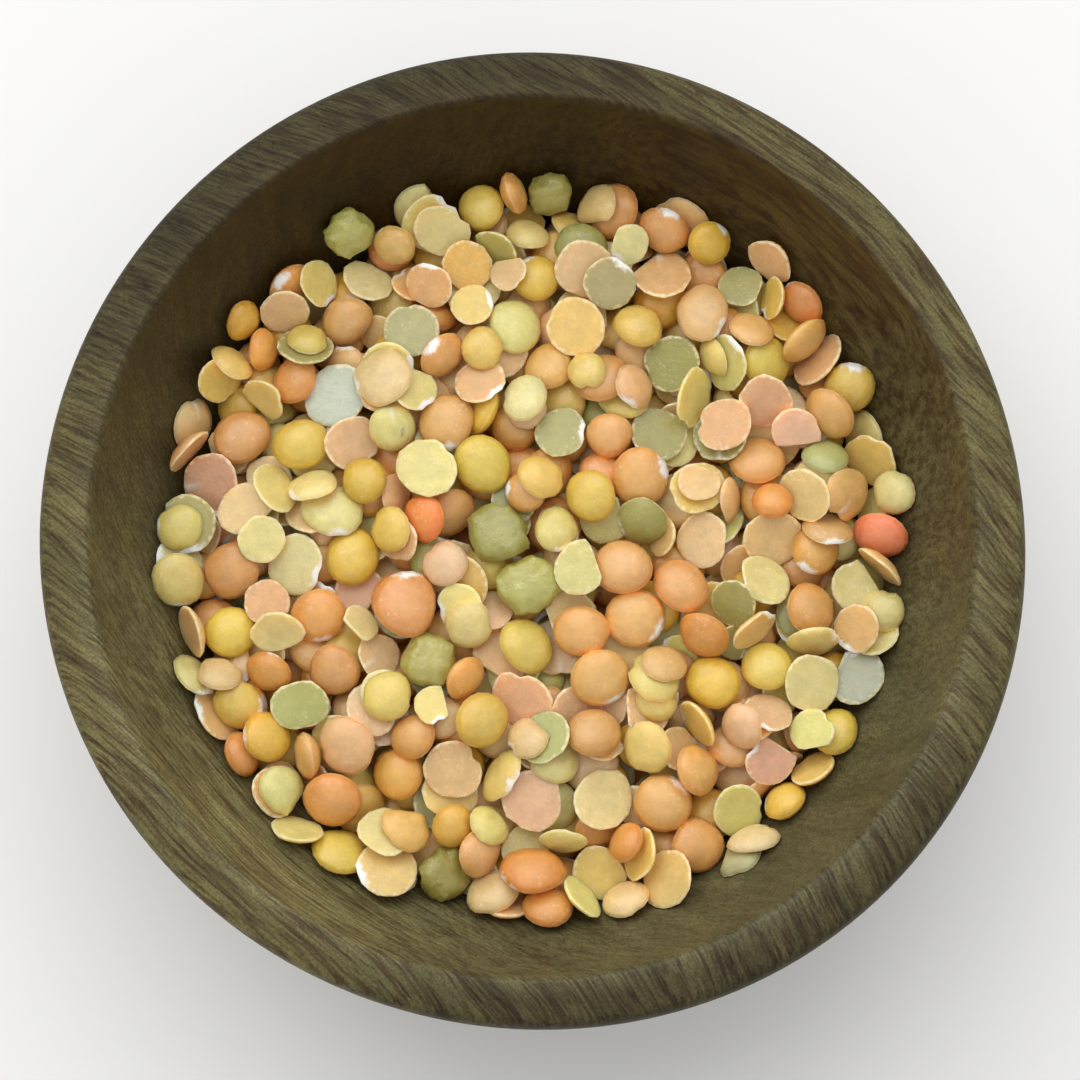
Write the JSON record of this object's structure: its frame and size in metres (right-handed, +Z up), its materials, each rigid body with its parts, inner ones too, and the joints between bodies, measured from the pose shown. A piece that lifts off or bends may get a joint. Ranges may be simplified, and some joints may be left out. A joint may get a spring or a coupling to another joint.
{
  "type": "bowl of dry lentils",
  "caption": "Small turned wooden bowl with a rounded rim, filled with a low heap of mixed dry lentils, whole, split and wrinkled.",
  "frame": {"origin": "centre of the flat foot, on the surface that the bowl stands on", "axes": "+Z up; the bowl is round, so +X and +Y are any two level directions"},
  "size_m": [0.0802, 0.0798, 0.032],
  "materials": {
    "stained_wood": "dark olive-brown stained and oiled wood with open pores, satin",
    "lentil_orange": "waxy dry seed, orange to peach",
    "lentil_yellow": "waxy dry seed, golden yellow",
    "lentil_pale": "chalky dry seed, pale yellow",
    "lentil_green": "dull dry seed, grey-green"
  },
  "bodies": {
    "root": {"bowl": "stained_wood", "lentils": "lentil_orange"}
  },
  "joints": []
}
